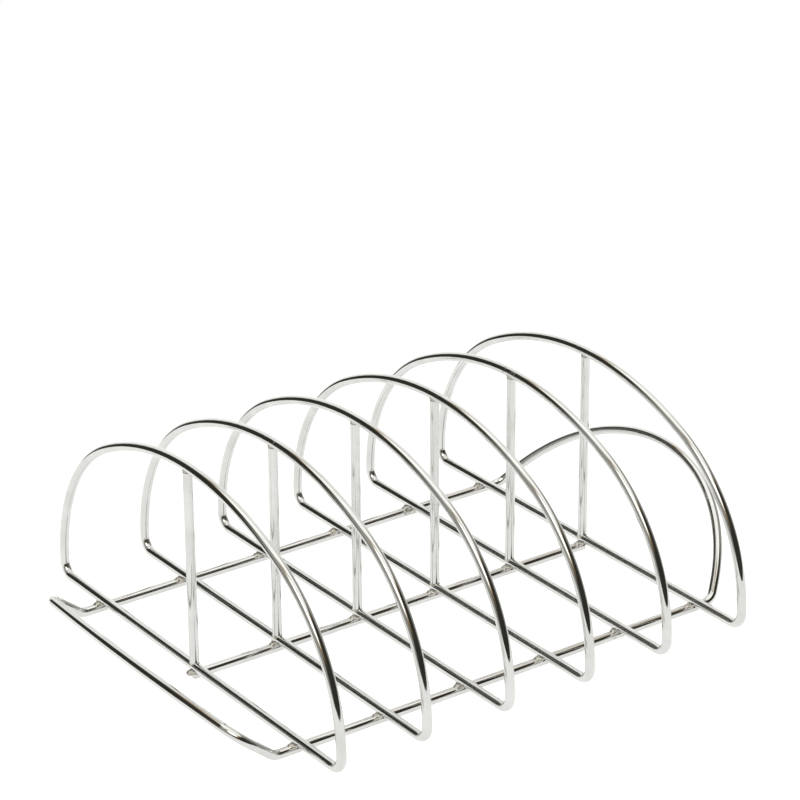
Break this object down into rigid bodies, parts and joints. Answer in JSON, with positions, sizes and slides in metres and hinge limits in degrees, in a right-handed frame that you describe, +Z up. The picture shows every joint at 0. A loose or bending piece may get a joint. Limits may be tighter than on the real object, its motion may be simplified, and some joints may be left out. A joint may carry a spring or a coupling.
{
  "type": "toast rack",
  "caption": "Polished wire toast rack: D-shaped hoops with centre posts on three rails, a low upturned lip at one end and a sloping round handle at the other.",
  "frame": {"origin": "on the table, under the middle of the rack's outline", "axes": "+X along the rails from the lip to the handle, +Y across the rack along the hoops' chords, +Z up"},
  "size_m": [0.1745, 0.1334, 0.06],
  "materials": {
    "wire": "bright polished round wire",
    "weld": "small bright weld beads, a little rougher than the wire"
  },
  "bodies": {
    "root": {"base_frame": "wire", "centre_rail": "wire", "hoop_1": "wire", "hoop_2": "wire", "hoop_3": "wire", "hoop_4": "wire", "hoop_5": "wire", "hoop_6": "wire", "post_1": "wire", "post_2": "wire", "post_3": "wire", "post_4": "wire", "post_5": "wire", "post_6": "wire", "front_rail_welds": "weld", "centre_rail_welds": "weld", "back_rail_welds": "weld", "post_foot_welds": "weld", "post_top_welds": "weld"}
  },
  "joints": []
}
